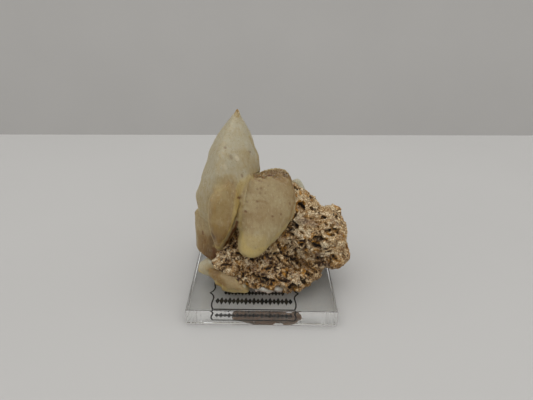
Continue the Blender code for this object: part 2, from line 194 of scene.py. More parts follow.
# Rusty stains
ROCK_OCHRE = (
    (297, 203.5, 299.5, 201.6, 1.6, 0.9), (303.8, 201.5, 304.2, 204, 1.2, 0.9),
    (296.3, 208, 297.4, 210, 1.3, 0.8), (295.6, 205.6, 296.6, 206, 1.0, 0.8),
    (295.6, 194.5, 296.4, 196, 1.2, 0.8), (300.3, 191, 300.6, 194, 1.3, 0.8),
    (306, 193.6, 308.4, 195.6, 1.5, 0.6), (311.6, 199, 313, 200, 1.4, 0.7),
    (306, 216.5, 309.6, 217.4, 2.0, 0.45), (311.8, 237, 315.6, 235.2, 1.3, 0.8),
    (313, 241.6, 319, 242.3, 1.1, 1.0), (312, 234.5, 314, 234.2, 1.3, 0.6),
    (327.3, 233.8, 329.6, 234.6, 1.3, 0.9), (324, 239.6, 327, 238.6, 0.9, 0.7),
    (318, 250.5, 314.5, 250, 1.4, 0.8), (312.3, 251, 315, 252.4, 1.3, 0.8),
    (305, 249.6, 307.6, 251, 1.4, 0.6), (298, 243, 303.8, 242.8, 1.1, 0.9),
    (296.6, 227.6, 299, 226.6, 1.0, 0.7), (285, 233.6, 287.6, 235.6, 1.4, 0.7),
    (283.6, 248.2, 286, 247.6, 1.4, 0.9), (304, 237, 305.6, 238.6, 1.0, 0.7),
    (309, 239, 311.4, 239.4, 1.1, 0.8), (282.6, 272.3, 285, 274.5, 1.4, 0.9),
    (283, 268.6, 287, 269.4, 1.2, 0.8), (304, 270, 305.4, 271.6, 1.1, 0.9),
    (302.6, 272, 304.6, 275.6, 1.3, 0.7), (285.6, 283.6, 287, 286, 1.3, 0.7),
    (294.6, 290, 295.6, 291, 1.2, 0.8), (247, 284.3, 249.4, 286.3, 1.3, 0.8),
    (254, 286, 256, 286.6, 1.2, 0.5), (236.6, 261.4, 239, 263.6, 1.6, 0.6),
    (263.6, 269.6, 265.6, 267.6, 1.0, 0.6), (266, 256, 264.6, 258.6, 1.0, 0.7),
    (343.6, 236, 345, 236.6, 1.2, 0.6), (292, 219, 293.4, 217, 0.9, 0.6),
    (268, 286.6, 273, 285.6, 2.2, 0.35), (284, 259, 288, 261.4, 1.6, 0.6),
    (289, 262.6, 290.5, 264, 1.0, 0.7),
)
# Pale crumbs, flakes and ledges
ROCK_CREAM = (
    (293.6, 219.6, 298, 223.8, 0.8, 0.9), (298, 224, 303, 229.3, 1.0, 0.8),
    (296, 234.6, 303, 235.4, 1.3, 0.9), (297.6, 233.6, 300.6, 231.8, 0.8, 0.7),
    (307, 233.5, 311.3, 236.6, 2.3, 0.9), (321.6, 241.6, 325.6, 245.6, 2.4, 0.95),
    (324, 236.2, 330, 237.6, 1.2, 0.7), (334, 227.2, 340, 227.2, 0.9, 0.9),
    (321, 221.5, 324.4, 220, 0.9, 0.8), (325.6, 219, 326.6, 216.8, 0.8, 0.7),
    (309, 213.6, 318, 214.6, 2.0, 0.55), (322, 213, 331, 214.6, 1.8, 0.6),
    (321, 253.2, 329, 254, 0.7, 0.9), (321.6, 255.3, 329.3, 255.2, 0.6, 1.0),
    (323.6, 261, 326, 262.4, 1.2, 0.6), (322.6, 267.3, 326.6, 267.8, 1.2, 0.5),
    (305, 258.6, 315, 259.2, 0.9, 0.7), (299, 252, 303.6, 256.5, 2.2, 0.7),
    (307.3, 242, 309, 247.6, 1.4, 0.8), (290, 250.6, 293.6, 253.6, 1.8, 0.5),
    (296.6, 266, 297.6, 267, 1.3, 0.8), (291, 276, 297, 274.6, 1.6, 0.6),
    (293, 281.6, 301, 283, 2.0, 0.75), (296.6, 278.4, 304.6, 274.6, 1.4, 0.6),
    (286, 276.6, 289, 278.4, 1.1, 0.6), (283.6, 283.6, 286.6, 285.6, 1.3, 0.5),
    (216.3, 259, 219, 254.3, 1.5, 0.95), (228.6, 251, 228.6, 257.6, 1.8, 0.85),
    (221, 256.4, 227, 256, 1.4, 0.7), (220, 261.6, 223, 263.6, 1.0, 0.7),
    (226.4, 267.6, 229, 266.4, 0.8, 0.95), (229.6, 268.6, 230.4, 267.3, 0.6, 0.9),
    (215, 267, 219, 268.8, 0.9, 0.8), (233, 260, 234.6, 263.6, 1.3, 0.6),
    (246.3, 260, 248.3, 264.6, 1.7, 0.6), (236.4, 258, 238, 257, 0.8, 0.8),
    (263.5, 261.3, 264.3, 267, 1.4, 0.8), (258.6, 262, 260.3, 267, 0.7, 0.7),
    (244.4, 277.6, 246.3, 279.6, 1.2, 1.0), (247.6, 281.3, 248.6, 283.3, 0.8, 0.9),
    (262.6, 279.6, 264.3, 281, 1.2, 1.0), (251.6, 282, 253, 282.3, 0.7, 0.8),
    (240, 276, 241.3, 277.4, 1.0, 0.6), (266.6, 276.6, 269.6, 277.3, 1.2, 0.7),
    (258.6, 287.6, 262, 287, 1.3, 0.4), (297.6, 196.6, 300.6, 198.6, 1.6, 0.5),
    (306, 205, 306.6, 209, 1.3, 0.4), (309.6, 186.6, 312, 192, 1.4, 0.4),
    (326, 205.6, 334, 207.6, 2.0, 0.35), (330, 218, 334, 219, 1.6, 0.4),
    (322, 231, 323.6, 235.6, 1.6, 0.5), (333.6, 250.6, 336.6, 253.6, 1.4, 0.5),
    (284, 240, 289, 243.6, 2.4, 0.3), (268.6, 274, 273, 277, 1.6, 0.45),
    (296.4, 233, 303.4, 238.6, 1.9, 0.9), (300, 228.4, 304, 231, 1.3, 0.9),
    (306.6, 234.6, 310.4, 237.6, 2.0, 0.9), (293.4, 226.4, 297.4, 231, 1.1, 0.8),
    (301, 243.6, 304, 246.6, 1.0, 0.7), (296, 219, 303, 214, 1.6, 0.5),
)
# Smooth tan plates between the broad crystal and the rock, and the pinkish grey of the rock's knobs
ROCK_PLATES = (
    (274, 246, 275, 253, 3.6, 0.9), (271.5, 251, 268, 252.6, 1.6, 0.6), (283, 240.5, 286, 243, 2.4, 0.7),
    (306, 184, 303, 189, 2.0, 0.5),
)
ROCK_GREY = (
    (303, 221, 316, 224, 3.2, 0.7), (333, 221, 338, 225, 2.6, 0.7), (338, 232, 342, 234, 2.2, 0.6),
    (321, 262, 328, 266, 3.2, 0.8), (318, 253.5, 331, 257.5, 3.0, 0.7), (303, 262, 308, 268, 2.6, 0.7),
    (296, 216, 299, 220, 2.2, 0.6), (250, 264, 258, 272, 4.0, 0.45), (264, 259, 271, 264, 2.6, 0.6),
    (265, 271, 272, 276, 3.0, 0.5), (217, 252, 223, 253, 2.6, 0.5), (318, 246, 320, 248, 2.2, 0.7),
    (298, 276, 292, 273, 2.2, 0.4), (308, 244, 310, 250, 1.6, 0.5), (226, 260, 232, 263, 2.0, 0.4),
)

# Where the rock's skin lies further in, and where it lies further out
ROCK_WORN = (
    (337, 206, 341, 211, 3.5, 1.0), (341, 212, 344, 220, 2.0, 0.7),
)
ROCK_FULL = (
    (265, 284.5, 272, 286, 2.6, 1.0), (251, 285, 258, 286, 2.4, 0.7), (216.6, 262, 225, 267, 2.8, 1.3),
    (225, 267, 235.6, 271, 2.8, 1.3), (214, 268, 231, 273, 2.4, 0.8), (231, 273, 243, 281, 2.2, 0.8),
)

# Each crystal: a point near its middle, how often its skin is smoothed and how far it then swells back in
# millimetres, how brown it is at its top and its foot with the heights of both, and how strong the painted
# yellow glow of its edges is
Crystal = namedtuple("Crystal", "middle passes swell brown_top brown_foot top foot yellow")
CRYSTALS = {
    "tall": Crystal((-12.0, -2.0, 42.0), 110, 0.8, 0.2, 0.5, 64.0, 24.0, 0.35),
    "offshoot": Crystal((-13.5, -11.0, 34.0), 16, 0.3, 0.62, 0.86, 46.0, 30.0, 0.45),
    "broad": Crystal((0.0, -8.0, 34.0), 240, 1.3, 0.62, 0.5, 46.0, 26.0, 0.6),
    "left": Crystal((-17.4, -3.0, 20.0), 12, 0.2, 0.55, 0.9, 28.0, 14.0, 0.0),
    "pale_end": Crystal((-19.0, -8.0, 11.5), 5, 0.3, 0.22, 0.3, 16.0, 8.0, 0.0),
    "blade": Crystal((-11.0, -13.0, 9.0), 5, 0.2, 0.78, 0.6, 14.0, 6.0, 0.05),
    "back": Crystal((10.5, 9.0, 30.0), 6, 0.75, 0.0, 0.25, 40.0, 20.0, 0.0),
    "back_small": Crystal((13.0, 12.0, 24.0), 6, 0.3, 0.1, 0.3, 30.0, 20.0, 0.0),
}
# The visible outlines of the larger crystals, in pixels: their skins are drawn out or in to them
OUTLINES = {
    "tall": (
        (209.5, 149.5), (207.3, 157.4), (206.1, 162.2), (204.1, 168.6), (202.1, 174.9), (200.5, 181.3),
        (198.2, 187.7), (195.8, 194.1), (195.4, 198.1), (197, 203.6), (257.6, 151), (259.8, 158),
        (260.4, 165),
    ),
    "broad": (
        (255.5, 174), (248, 180), (243, 187), (239.6, 196), (238.5, 208), (238.2, 220), (238.5, 234),
        (236.6, 245), (239.8, 253.4), (247, 257.6), (251.3, 258.4), (256.3, 257.4), (263.8, 252.8),
        (269.6, 247), (276.2, 239.6), (282.8, 232.1), (288.6, 223.8), (292.8, 217.2), (295.3, 209.7),
        (296.1, 201.4), (295.3, 191.5), (293.6, 183.2), (291.1, 176.6), (287.8, 170.8), (283.7, 168.3),
        (276.2, 168), (267.9, 168), (262.9, 170),
    ),
    "offshoot": (
        (225, 179), (219, 184), (213.5, 190), (210, 196), (207.4, 209.7), (207.2, 218), (208, 226),
        (209.9, 233), (213.2, 242.9), (218.2, 248.7), (222, 244.6), (227, 235.6), (232, 226),
        (236, 217.6), (239, 208), (239.6, 198),
    ),
    "blade": (
        (206, 273), (211.5, 271), (221.5, 274), (232.5, 276.3), (239, 280), (243.5, 284), (248, 289.6),
        (250, 293.4), (239, 293), (228, 292.3), (224.8, 291.2), (221.5, 286.3), (212.6, 279), (208, 276),
    ),
}
# An outline is followed in sectors of this many degrees. A point of it reaches this many degrees to either
# side, against a small weight for the skin as it is, and a sector shrinks or grows within these limits
OUTLINE_SECTOR = 3
OUTLINE_REACH = 6.0
OUTLINE_REST = 0.05
OUTLINE_LIMITS = (0.82, 1.25)
# The share of its radius from which a crystal moves with its outline, up to the whole at its edge
OUTLINE_INNER = 0.2
# How surely a vertex is a crystal's own to count for its edge, and where it is too little its own to move
OWN_SKIN = 0.6
OTHER_SKIN = 0.01
# How often the joint of a crystal with the others is smoothed, and which vertices are in it, as their shares
JOINT_PASSES = {"offshoot": 44, "broad": 16}
JOINT_SHARES = (0.12, 0.88)
# Corners where crystals meet, and the left edge of the offshoot, in pixels: the skin is smoothed within a
# reach of each, in millimetres
JOINT_CORNERS = (
    (256.5, 173.5), (259, 173), (231, 178.2), (227.5, 178.8), (223.5, 180.5), (220.5, 182.5), (216, 187),
    (212.5, 191), (210, 197), (208.4, 204), (207.6, 211), (207.6, 218), (208.2, 225), (209.6, 232),
    (212, 238.5),
)
JOINT_REACH = 1.9
CORNER_PASSES = 60
# The tall crystal's tip stays sharp. Near it there are fewer passes, and the skin swells back less
SHARP_TIP = Vector((-8.8, 3.0, 66.5))
SHARP_REACH = 2.2
BLUNT_REACH = 4 * SHARP_REACH
SWELL_REACH = 5 * SHARP_REACH
TIP_PASSES = 12
TIP_SWELL = 0.3
# Passes over all crystals at the end, and how often the ownership and the brown are evened out
LAST_PASSES = 8
OWNER_BLENDS = 10
BROWN_BLENDS = 70
# Where the broad crystal is broken off, as a point and the way the break faces
BREAK_POINT = (3.7, -4.0, 48.0)
BREAK_FACES = (-0.08, 0.35, 1.0)
# Where its roughness fades out, in millimetres: leftward, rearward, upward, and down from the break
BREAK_LEFT = (-4.5, -2.0)
BREAK_REAR = (8.0, 5.0)
BREAK_TOP = (52.0, 51.0)
BREAK_DOWN = (-4.0, -1.8)
# Faces turned away from this side, toward the outline, get a painted yellow glow. The glow starts at the
# first of these cosines and is whole at the second, and it fades in between two heights, from near the tall
# crystal's tip downward
NO_GLOW_SIDE = (0.1, -0.8, 0.6)
YELLOW_TURN = (0.45, 0.05)
YELLOW_HEIGHTS = (65.0, 56.0)

# The rock's relief, in millimetres: how far it is bent out of line and over what length, the sizes of its
# crumbs, grit, ribs and broad swellings, of the gaps in its pits, and of the pits and stains at the back
ROCK_BEND = 1.1
ROCK_BEND_SIZE = 2.4
ROCK_CRUMB = 1.0
ROCK_GRIT = 0.55
ROCK_RIB = 1.5
ROCK_BROAD = 5.0
ROCK_PIT_GAP = 0.65
ROCK_BACK_PIT = 4.2
ROCK_BACK_STAIN = 3.6
ROCK_PASSES = 2
# Blender's noise vectors start from a place that differs each run unless a seed is set
ROCK_SEED = 4
# Its right end is finer: where that starts and is whole, across and downward
FINE_END_ACROSS = (20.0, 25.0)
FINE_END_DOWN = (26.0, 20.0)
# Heights between which its foot turns darker, and its upper part paler
ROCK_FOOT = (18.0, 12.0)
ROCK_UPPER = (21.0, 27.0)
# How far a face is turned to the rear where the hidden side starts, and where it is whole
HIDDEN_SIDE = (-0.1, 0.2)

# The putty, in millimetres: the height and size of its lumps, and how near the base it is pressed flat. What
# is pressed lies a hair inside the base, but patches where a soft noise is low stay above it, with air
# between. The stain fades out between two heights above the base
PUTTY_LUMP = 0.7
PUTTY_LUMP_SIZE = 1.9
PUTTY_NEAR = 0.8
PUTTY_SUNK = 0.05
PUTTY_PATCH_SIZE = 5.0
PUTTY_PATCH_NOISE = -0.35
PUTTY_AIR = 0.3
PUTTY_STAIN = (0.6, 0.2)
PUTTY_PASSES = 4

BASE_BEVEL = 0.28


def linear(colour):
    """A colour given as 0 to 255 values, in the linear values that the shaders take."""
    def one(value):
        share = value / 255
        return share / 12.92 if share <= 0.04045 else ((share + 0.055) / 1.055) ** 2.4
    return (*(one(value) for value in colour), 1.0)


# Shader nodes


def new_material(name):
    made = bpy.data.materials.new(name)
    made.use_nodes = True
    return made, made.node_tree.nodes, made.node_tree.links, made.node_tree.nodes["Principled BSDF"]


def attribute(nodes, name):
    found = nodes.new("ShaderNodeAttribute")
    found.attribute_name = name
    return found.outputs["Fac"]


def mixed(tree, share, first, second, way="MIX"):
    """Two colours mixed by a share. Each may be a colour or a socket."""
    mix = tree.nodes.new("ShaderNodeMix")
    mix.data_type = "RGBA"
    mix.blend_type = way
    for socket, value in ((0, share), (6, first), (7, second)):
        if isinstance(value, bpy.types.NodeSocket):
            tree.links.new(value, mix.inputs[socket])
        else:
            mix.inputs[socket].default_value = value
    return mix.outputs[2]


def ramp(tree, value, stops):
    """A colour ramp over a value, with its stops as place and colour."""
    made = tree.nodes.new("ShaderNodeValToRGB")
    tree.links.new(value, made.inputs["Fac"])
    steps = made.color_ramp.elements
    while len(steps) < len(stops):
        steps.new(0.5)
    for step, (place, colour) in zip(steps, stops):
        step.position = place
        step.color = linear(colour)
    return made.outputs["Color"]


def ranged(tree, value, low, high, out_low=0.0, out_high=1.0):
    made = tree.nodes.new("ShaderNodeMapRange")
    tree.links.new(value, made.inputs["Value"])
    made.inputs["From Min"].default_value = low
    made.inputs["From Max"].default_value = high
    made.inputs["To Min"].default_value = out_low
    made.inputs["To Max"].default_value = out_high
    return made.outputs["Result"]


def maths(tree, operation, first, second=0.0):
    made = tree.nodes.new("ShaderNodeMath")
    made.operation = operation
    made.use_clamp = operation == "MULTIPLY"
    for socket, value in ((0, first), (1, second)):
        if isinstance(value, bpy.types.NodeSocket):
            tree.links.new(value, made.inputs[socket])
        else:
            made.inputs[socket].default_value = value
    return made.outputs[0]


def ridge(tree, value, width):
    """1 where a noise crosses its middle, falling to 0 at a width from there: a net of thin lines."""
    away = maths(tree, "ABSOLUTE", maths(tree, "SUBTRACT", value, 0.5))
    return ranged(tree, away, 0.0, width, 1.0, 0.0)


def speckle_group():
    """Noise on Object coordinates, from 0 to 1: a soft cloud, fine grain, and upright streaks."""
    group = bpy.data.node_groups.new("speckle", "ShaderNodeTree")
    group.interface.new_socket("Cloud Size", in_out="INPUT", socket_type="NodeSocketFloat")
    group.interface.new_socket("Grain Size", in_out="INPUT", socket_type="NodeSocketFloat")
    group.interface.new_socket("Cloud", in_out="OUTPUT", socket_type="NodeSocketFloat")
    group.interface.new_socket("Grain", in_out="OUTPUT", socket_type="NodeSocketFloat")
    group.interface.new_socket("Streak", in_out="OUTPUT", socket_type="NodeSocketFloat")
    nodes, links = group.nodes, group.links
    given = nodes.new("NodeGroupInput")
    out = nodes.new("NodeGroupOutput")
    where = nodes.new("ShaderNodeTexCoord")
    flattened = nodes.new("ShaderNodeMapping")
    flattened.inputs["Scale"].default_value = (1.0, 1.0, 0.2)
    links.new(where.outputs["Object"], flattened.inputs["Vector"])
    plain, tall = where.outputs["Object"], flattened.outputs["Vector"]
    noises = (
        ("Cloud Size", "Cloud", 3.0, plain),
        ("Grain Size", "Grain", 2.0, plain),
        ("Grain Size", "Streak", 2.0, tall),
    )
    for size, result, detail, place in noises:
        scale = maths(group, "DIVIDE", 1.0, given.outputs[size])
        texture = nodes.new("ShaderNodeTexNoise")
        links.new(place, texture.inputs["Vector"])
        links.new(scale, texture.inputs["Scale"])
        texture.inputs["Detail"].default_value = detail
        spread = ranged(group, texture.outputs["Fac"], 0.3, 0.7)
        links.new(spread, out.inputs[result])
    return group


SPECKLE = speckle_group()


def speckle(nodes, cloud, grain):
    """The speckle group, with the sizes of its cloud and its grain in millimetres."""
    made = nodes.new("ShaderNodeGroup")
    made.node_tree = SPECKLE
    made.inputs["Cloud Size"].default_value = cloud * MM
    made.inputs["Grain Size"].default_value = grain * MM
    return made.outputs["Cloud"], made.outputs["Grain"], made.outputs["Streak"]


def bump(tree, height, strength, distance):
    made = tree.nodes.new("ShaderNodeBump")
    made.inputs["Strength"].default_value = strength
    made.inputs["Distance"].default_value = distance * MM
    tree.links.new(height, made.inputs["Height"])
    return made.outputs["Normal"]


# Materials


def calcite_material():
    made, nodes, links, shader = new_material("frosted_calcite")
    tree = made.node_tree
    cloud, grain, fine_streak = speckle(nodes, 4.0, 0.5)
    drift, flecks, streak = speckle(nodes, 1.5, 0.9)
    brown = maths(tree, "ADD", attribute(nodes, "brown"), ranged(tree, cloud, 0.0, 1.0, -0.08, 0.08))
    brown = maths(tree, "ADD", brown, ranged(tree, drift, 0.0, 1.0, -0.06, 0.06))
    brown = maths(tree, "ADD", brown, ranged(tree, streak, 0.0, 1.0, -0.07, 0.07))
    # Above 1, the brown ramp goes on into a darker brown that is painted shade
    colour = ramp(tree, maths(tree, "MULTIPLY", brown, 0.667), (
        (0.0, (189, 185, 164)),
        (0.333, (170, 152, 112)),
        (0.667, (136, 106, 56)),
        (1.0, (96, 70, 36)),
    ))
    # Yellow joints, and a painted glow at thin edges and the foot
    colour = mixed(tree, attribute(nodes, "yellow"), colour, linear((204, 181, 108)))
    colour = mixed(tree, attribute(nodes, "cream"), colour, linear((214, 204, 178)))
    colour = mixed(tree, ranged(tree, flecks, 0.9, 1.05, 0.0, 0.4), colour, linear((112, 80, 40)))
    colour = mixed(tree, ranged(tree, grain, 0.75, 1.0, 0.0, 0.3), colour, linear((122, 94, 52)))
    colour = mixed(tree, ranged(tree, fine_streak, 0.25, 0.0, 0.0, 0.2), colour, linear((216, 206, 178)))
    # Dark specks, and painted shade in the clefts between the crystals
    colour = mixed(tree, attribute(nodes, "dark_and_shade"), colour, linear((104, 58, 12)))
    links.new(colour, shader.inputs["Base Color"])
    links.new(ranged(tree, grain, 0.0, 1.0, 0.38, 0.56), shader.inputs["Roughness"])
    shader.inputs["IOR"].default_value = 1.5
    shader.inputs["Transmission Weight"].default_value = 0.12
    shader.inputs["Subsurface Weight"].default_value = 0.7
    shader.inputs["Subsurface Radius"].default_value = (1.0, 0.85, 0.6)
    shader.inputs["Subsurface Scale"].default_value = 2.2 * MM
    links.new(bump(tree, maths(tree, "ADD", grain, streak), 0.5, 0.14), shader.inputs["Normal"])
    return made


def rock_material():
    made, nodes, links, shader = new_material("crumbly_rock")
    tree = made.node_tree
    cloud, grain, _ = speckle(nodes, 1.7, 0.42)
    drift, dust, _ = speckle(nodes, 8.0, 0.95)
    tone = maths(tree, "ADD", attribute(nodes, "tone"), ranged(tree, cloud, 0.0, 1.0, -0.22, 0.22))
    tone = maths(tree, "ADD", tone, ranged(tree, dust, 0.0, 1.0, -0.16, 0.16))
    colour = ramp(tree, tone, (
        (0.0, (112, 76, 40)),
        (0.2, (156, 122, 80)),
        (0.42, (214, 182, 134)),
        (0.56, (170, 140, 108)),
        (0.78, (232, 204, 156)),
        (1.0, (252, 232, 194)),
    ))
    crumbly = attribute(nodes, "crumbly")
    flake = maths(tree, "MULTIPLY", ridge(tree, cloud, 0.16), crumbly)
    colour = mixed(tree, maths(tree, "MULTIPLY", flake, 0.75), colour, linear((240, 218, 174)))
    colour = mixed(tree, attribute(nodes, "grey"), colour, linear((152, 130, 110)))
    colour = mixed(tree, attribute(nodes, "plate"), colour, linear((170, 146, 102)))
    colour = mixed(tree, attribute(nodes, "cream"), colour, linear((242, 226, 192)))
    # The dark value holds the pits and the painted shade in them
    dark_and_shade = attribute(nodes, "dark_and_shade")
    rim = maths(tree, "MULTIPLY", dark_and_shade, maths(tree, "SUBTRACT", 1.0, dark_and_shade))
    ochre = maths(tree, "ADD", attribute(nodes, "ochre"), maths(tree, "MULTIPLY", rim, 2.2))
    crack = maths(tree, "MULTIPLY", ridge(tree, dust, 0.14), crumbly)
    beside = maths(tree, "MULTIPLY", crack, maths(tree, "SUBTRACT", 1.0, crack))
    stained = maths(tree, "MULTIPLY", beside, ranged(tree, drift, 0.25, 0.65, 0.0, 3.2))
    colour = mixed(tree, maths(tree, "ADD", ochre, stained), colour, linear((192, 134, 38)))
    colour = mixed(tree, ranged(tree, grain, 0.05, 0.55, 0.6, 0.0), colour, linear((96, 64, 34)))
    colour = mixed(tree, maths(tree, "MULTIPLY", crack, 0.6), colour, linear((66, 39, 16)))
    height = maths(tree, "ADD", attribute(nodes, "height"), ranged(tree, dust, 0.0, 1.0, -0.12, 0.12))
    # Painted shade: the low places of the relief darken toward a deep brown
    colour = mixed(tree, ranged(tree, height, 0.14, 0.5, 1.0, 0.0), colour, linear((50, 28, 12)))
    # Painted shade: pits and clefts go near black
    colour = mixed(tree, dark_and_shade, colour, linear((30, 17, 7)))
    links.new(colour, shader.inputs["Base Color"])
    shader.inputs["Roughness"].default_value = 0.85
    links.new(bump(tree, maths(tree, "ADD", grain, dust), 0.8, 0.3), shader.inputs["Normal"])
    return made


def putty_material():
    made, nodes, links, shader = new_material("white_putty")
    tree = made.node_tree
    cloud, grain, _ = speckle(nodes, 2.5, 0.4)
    colour = mixed(tree, cloud, linear((222, 218, 208)), linear((176, 168, 152)))
    colour = mixed(tree, ranged(tree, grain, 0.7, 1.0, 0.0, 0.6), colour, linear((120, 100, 76)))
    stain = mixed(tree, cloud, linear((236, 190, 154)), linear((222, 210, 196)))
    colour = mixed(tree, attribute(nodes, "stained"), colour, stain)
    links.new(colour, shader.inputs["Base Color"])
    shader.inputs["Roughness"].default_value = 0.6
    links.new(bump(tree, cloud, 0.4, 0.3), shader.inputs["Normal"])
    return made


def acrylic_material():
    made, nodes, links, shader = new_material("clear_acrylic")
    tree = made.node_tree
    cloud, _, _ = speckle(nodes, 9.0, 0.8)
    shader.inputs["Base Color"].default_value = (0.995, 1.0, 0.99, 1.0)
    links.new(ranged(tree, cloud, 0.0, 1.0, 0.0, 0.02), shader.inputs["Roughness"])
    shader.inputs["IOR"].default_value = 1.49
    shader.inputs["Transmission Weight"].default_value = 1.0
    return made


def ink_material():
    made, nodes, links, shader = new_material("label_ink")
    tree = made.node_tree
    _, grain, _ = speckle(nodes, 1.5, 0.2)
    links.new(mixed(tree, grain, linear((14, 13, 13)), linear((26, 24, 24))), shader.inputs["Base Color"])
    shader.inputs["Roughness"].default_value = 0.5
    return made


def stage_material(name, colour, roughness):
    made, nodes, links, shader = new_material(name)
    cloud, _, _ = speckle(nodes, 120.0, 3.0)
    paler = tuple(min(1.0, c * 1.03) for c in colour[:3])
    links.new(mixed(made.node_tree, cloud, colour, (*paler, 1.0)), shader.inputs["Base Color"])
    shader.inputs["Roughness"].default_value = roughness
    return made


# Making pieces


def merged_copy(node):
    """A CAD node's mesh with its loose triangles joined, as a bmesh in millimetres."""
    bm = bmesh.new()
    bm.from_mesh(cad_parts[node].data)
    bmesh.ops.remove_doubles(bm, verts=bm.verts, dist=1e-7)
    bmesh.ops.scale(bm, vec=Vector((1 / MM, 1 / MM, 1 / MM)), verts=bm.verts)
    return bm


def mesh_object(name, bm, finish, smooth=True):
    """A bmesh in millimetres as an object in metres."""
    bmesh.ops.scale(bm, vec=Vector((MM, MM, MM)), verts=bm.verts)
    mesh = bpy.data.meshes.new(name)
    bm.to_mesh(mesh)
    bm.free()
    made = bpy.data.objects.new(name, mesh)
    bpy.context.scene.collection.objects.link(made)
    mesh.materials.append(finish)
    if smooth:
        mesh.shade_smooth()
    return made


def settled(obj):
    """The object with its modifiers applied to its mesh."""
    bpy.context.view_layer.update()
    graph = bpy.context.evaluated_depsgraph_get()
    done = bpy.data.meshes.new_from_object(obj.evaluated_get(graph))
    obj.modifiers.clear()
    obj.data = done
    return obj


def skinned(name, bm, voxel, finish):
    """An even skin of small quads over a solid."""
    made = mesh_object(name, bm, finish)
    skin = made.modifiers.new("Even skin", "REMESH")
    skin.mode = "VOXEL"
    skin.voxel_size = voxel * MM
    return settled(made)


def in_millimetres(obj):
    bm = bmesh.new()
    bm.from_mesh(obj.data)
    bmesh.ops.scale(bm, vec=Vector((1 / MM, 1 / MM, 1 / MM)), verts=bm.verts)
    bm.normal_update()
    return bm


def put_back(bm, obj, values):
    """The bmesh back in its object, in metres, with a float attribute for each list of values."""
    bmesh.ops.scale(bm, vec=Vector((MM, MM, MM)), verts=bm.verts)
    bm.to_mesh(obj.data)
    bm.free()
    for name, numbers in values.items():
        layer = obj.data.attributes.new(name, "FLOAT", "POINT")
        layer.data.foreach_set("value", numbers)
    obj.data.shade_smooth()


def smoothed(bm, verts, times, factor=0.5):
    for _ in range(times):
        bmesh.ops.smooth_vert(bm, verts=verts, factor=factor,
                              use_axis_x=True, use_axis_y=True, use_axis_z=True)
    bm.normal_update()


def share(value, low, high):
    """0 below low, 1 above high, and a smooth step between. With low over high, the other way round."""
    t = max(0.0, min(1.0, (value - low) / (high - low)))
    return t * t * (3 - 2 * t)


# Marks placed from the photo


def camera_turn():
    yaw = Matrix.Rotation(math.radians(-CAMERA_YAW), 4, "Z")
    tilt = Matrix.Rotation(math.radians(90 - CAMERA_DOWN), 4, "X")
    roll = Matrix.Rotation(math.radians(CAMERA_ROLL), 4, "Z")
    return yaw @ tilt @ roll


def seen_point(skin, u, v):
    """The point of a skin, in millimetres, that shows at a pixel of the photo."""
    across = Vector((u - IMAGE_SIZE[0] / 2, IMAGE_SIZE[1] / 2 - v, -CAMERA_FOCAL_PIXELS))
    return skin.ray_cast(Vector(CAMERA_PLACE), (camera_turn() @ across).normalized())[0]


def seen_pixel(place):
    """Where a point, in millimetres, shows in the photo, and how far it lies from the camera."""
    seen = camera_turn().to_3x3().transposed() @ (place - Vector(CAMERA_PLACE))
    depth = -seen.z
    scale = CAMERA_FOCAL_PIXELS / depth
    return Vector((IMAGE_SIZE[0] / 2 + seen.x * scale, IMAGE_SIZE[1] / 2 - seen.y * scale)), depth


class Surface:
    """A skin's vertices as they stand before any mark is made, for finding those that lie in a mark."""

    def __init__(self, bm):
        self.skin = BVHTree.FromBMesh(bm)
        self.count = len(bm.verts)
        self.near = kdtree.KDTree(self.count)
        for index, vert in enumerate(bm.verts):
            self.near.insert(vert.co, index)
        self.near.balance()

    def marked(self, marks):
        """How strongly each vertex lies in any of the marks, from 0 to 1."""
        shares = [0.0] * self.count
        for u0, v0, u1, v1, width, strength in marks:
            steps = max(1, math.ceil(math.hypot(u1 - u0, v1 - v0) / (width * MARK_STEP)))
            for k in range(steps + 1):
                t = k / steps
                point = seen_point(self.skin, u0 + (u1 - u0) * t, v0 + (v1 - v0) * t)
                if point is None:
                    continue
                full, end = width * PIXEL * MARK_FULL, width * PIXEL * MARK_END
                for _, index, distance in self.near.find_range(point, end):
                    shares[index] = max(shares[index], strength * share(distance, end, full))
        return shares


# Crystals


# Faces of a solid that meet at less than the first angle are made one face, and those that meet at less than
# the second are taken to be of one crystal
ONE_FACE = math.radians(1)
ONE_CRYSTAL = math.radians(2)


def faces_by_crystal(solid):
    """Which crystal each face of a solid belongs to, by name: crystals meet along concave edges."""
    solid.faces.ensure_lookup_table()
    names = [None] * len(solid.faces)
    for first in solid.faces:
        if names[first.index]:
            continue
        body = {first}
        reached = [first]
        while reached:
            for edge in reached.pop().edges:
                if not edge.is_convex and edge.calc_face_angle(0.0) > ONE_CRYSTAL:
                    continue
                for face in edge.link_faces:
                    if face not in body:
                        body.add(face)
                        reached.append(face)
        area = sum(face.calc_area() for face in body)
        middle = sum((face.calc_center_median() * face.calc_area() for face in body), Vector()) / area
        nearest = min(CRYSTALS, key=lambda name: (Vector(CRYSTALS[name].middle) - middle).length)
        for face in body:
            names[face.index] = nearest
    return names


def broken_share(place):
    """How much a place is in the broken upper end of the broad crystal, from 0 to 1."""
    above = (place - Vector(BREAK_POINT)).dot(Vector(BREAK_FACES).normalized())
    near_side = share(place.x, *BREAK_LEFT) * share(place.y, *BREAK_REAR) * share(place.z, *BREAK_TOP)
    return share(above, *BREAK_DOWN) * near_side


def body_tone(crystal, height):
    """How brown a crystal is at a height."""
    form = CRYSTALS[crystal]
    return form.brown_top + (form.brown_foot - form.brown_top) * share(height, form.top, form.foot)


